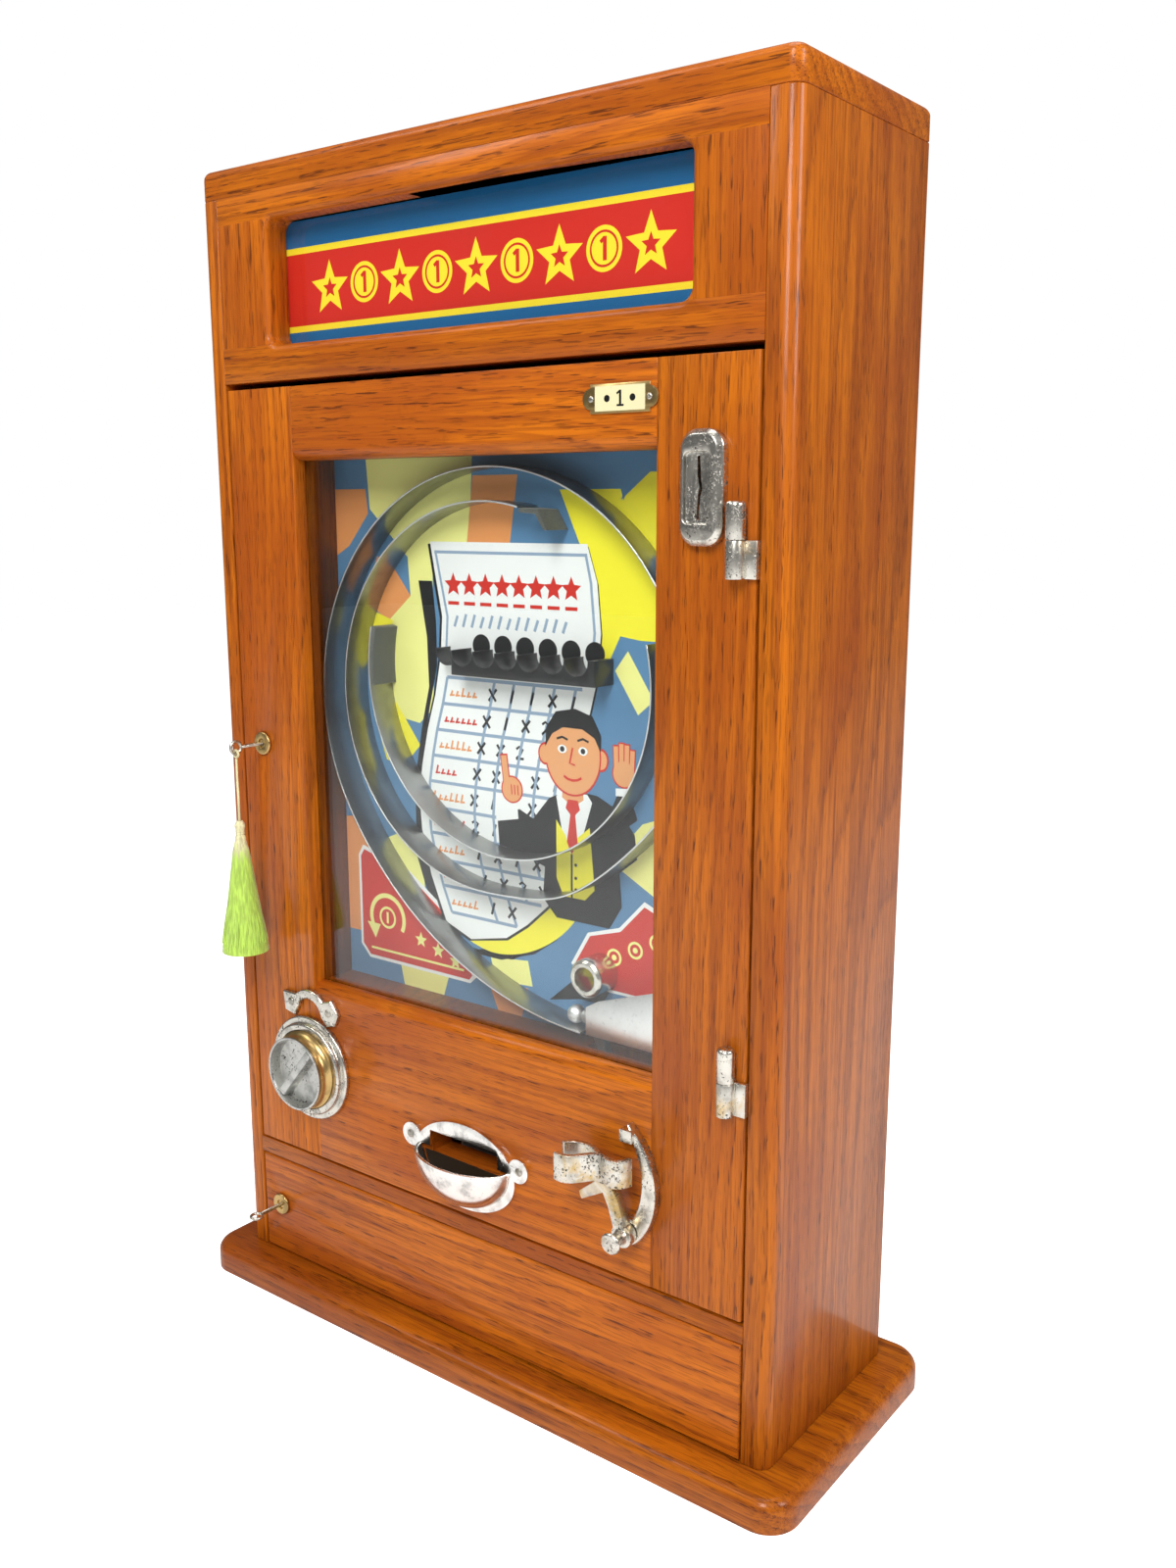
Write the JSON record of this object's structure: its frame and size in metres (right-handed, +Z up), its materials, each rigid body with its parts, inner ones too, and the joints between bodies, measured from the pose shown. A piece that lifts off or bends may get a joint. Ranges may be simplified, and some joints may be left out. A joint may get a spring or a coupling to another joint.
{
  "type": "allwin ball machine",
  "caption": "Wall-mounted penny arcade machine in an oak case: a trigger flicks a ball round a spiral track into winner cups, and a knob pays out a coin.",
  "frame": {"origin": "middle of the plinth's underside", "axes": "+Z up, +Y from the front into the case, +X to the player's right"},
  "size_m": [0.526, 0.224, 0.83],
  "materials": {
    "oak": "glossy varnished oak, honey brown",
    "pine": "plain unvarnished inner wood",
    "playfield_wood": "dark stained wood",
    "playfield_art": null,
    "glass": "clear window glass",
    "marquee_art": "blue, red and yellow striped panel",
    "tinplate": "dull tinplate",
    "track_steel": "bright steel strip",
    "felt_black": "grey felt and black leatherette",
    "cup_black": "black enamel",
    "bright_metal": "bright satin plate",
    "worn_nickel": "worn nickel plate with brass showing",
    "brass": "aged brass",
    "steel": "plain mild steel",
    "iron": "black cast iron",
    "thread_cream": "cream twisted thread",
    "tassel_green": "cream and lime green yarn"
  },
  "bodies": {
    "case": {"base_plinth": "oak", "left_side": "oak", "right_side": "oak", "top_board": "oak", "back_panel": "pine", "header_frame": "oak", "marquee_glass": "glass", "marquee_panel": "marquee_art", "marquee_battens": "pine", "cash_shelf": "pine", "cash_tray": "tinplate", "lock_strikes": "brass", "case_hinge_leaves": "worn_nickel"},
    "door": {"door_hinge_leaves": "worn_nickel", "door_left_stile": "oak", "door_right_stile": "oak", "door_top_rail": "oak", "door_bottom_rail": "oak", "door_glass": "glass", "glass_beads": "pine", "playfield_board": "playfield_art", "playfield_walls": "playfield_wood", "outer_track": "track_steel", "middle_track": "track_steel", "inner_track": "track_steel", "track_stops": "felt_black", "winner_cups": "cup_black", "ball_nozzle": "worn_nickel", "launcher_plate": "bright_metal", "ball_return": "tinplate", "coin_entry_plate": "worn_nickel", "coin_chute": "tinplate", "price_plate": "worn_nickel", "coin_tube": "brass", "slide_bed": "iron", "payout_chute": "tinplate", "knob_escutcheon": "worn_nickel", "mechanism_posts": "brass", "arrow_bracket": "worn_nickel", "payout_cup": "worn_nickel", "wood_screws": "steel", "trigger_bow": "worn_nickel", "door_lock": "brass", "trigger_spring": "steel"},
    "trigger": {"trigger_lever": "worn_nickel", "trigger_gear": "brass"},
    "hammer": {"hammer": "steel"},
    "ball": {"ball": "steel"},
    "payout_knob": {"payout_knob": "worn_nickel", "payout_cam": "iron"},
    "payout_slide": {"payout_slide": "steel"},
    "door_key": {"door_key": "steel", "door_lock_tongue": "brass"},
    "tassel": {"tassel_loop": "thread_cream", "tassel_cord": "thread_cream", "tassel": "tassel_green"},
    "cash_door": {"cash_door": "oak", "cash_lock": "brass"},
    "cash_key": {"cash_key": "steel", "cash_lock_tongue": "brass"}
  },
  "joints": [
    {"name": "door_swing", "type": "hinge", "parent": "case", "child": "door", "pos_m": [0.208, -0.084, 0.426], "axis": [0, 0, 1], "range_deg": [0, 120]},
    {"name": "cash_door_swing", "type": "hinge", "parent": "case", "child": "cash_door", "pos_m": [0.204, -0.072, 0.061], "axis": [0, 0, 1], "range_deg": [0, 110]},
    {"name": "payout_knob_turn", "type": "hinge", "parent": "door", "child": "payout_knob", "pos_m": [-0.157, -0.078, 0.187], "axis": [0, -1, 0], "range_deg": [0, 70], "stiffness_Nm_per_rad": 0.3, "springref_deg": -28.65},
    {"name": "payout_slide_move", "type": "slide", "parent": "door", "child": "payout_slide", "axis": [1, 0, 0], "range_m": [-0.0325, 0]},
    {"name": "trigger_pull", "type": "hinge", "parent": "door", "child": "trigger", "pos_m": [0.139, -0.078, 0.152], "axis": [0, -1, 0], "range_deg": [0, 35], "stiffness_Nm_per_rad": 0.2, "springref_deg": -40.11, "deforming": ["trigger_spring"]},
    {"name": "hammer_swing", "type": "hinge", "parent": "door", "child": "hammer", "pos_m": [0.111, -0.078, 0.2005], "axis": [0, -1, 0], "range_deg": [-35, 0]},
    {"name": "ball_run", "type": "hinge", "parent": "door", "child": "ball", "pos_m": [0.0872, -0.078, 0.5194], "axis": [0, 1, 0], "range_deg": [0, 52]},
    {"name": "door_lock_turn", "type": "hinge", "parent": "door", "child": "door_key", "pos_m": [-0.196, -0.078, 0.43], "axis": [0, 1, 0], "range_deg": [0, 90]},
    {"name": "tassel_plumb", "type": "hinge", "parent": "door_key", "child": "tassel", "pos_m": [-0.196, -0.104, 0.4255], "axis": [0, 1, 0], "range_deg": [-90, 0]},
    {"name": "cash_lock_turn", "type": "hinge", "parent": "cash_door", "child": "cash_key", "pos_m": [-0.199, -0.078, 0.062], "axis": [0, 1, 0], "range_deg": [0, 90]}
  ],
  "couplings": [
    {"joint": "payout_slide_move", "follows": "payout_knob_turn", "m_per_rad": -0.026291},
    {"joint": "hammer_swing", "follows": "trigger_pull", "ratio": -1},
    {"joint": "tassel_plumb", "follows": "door_lock_turn", "ratio": -1}
  ]
}
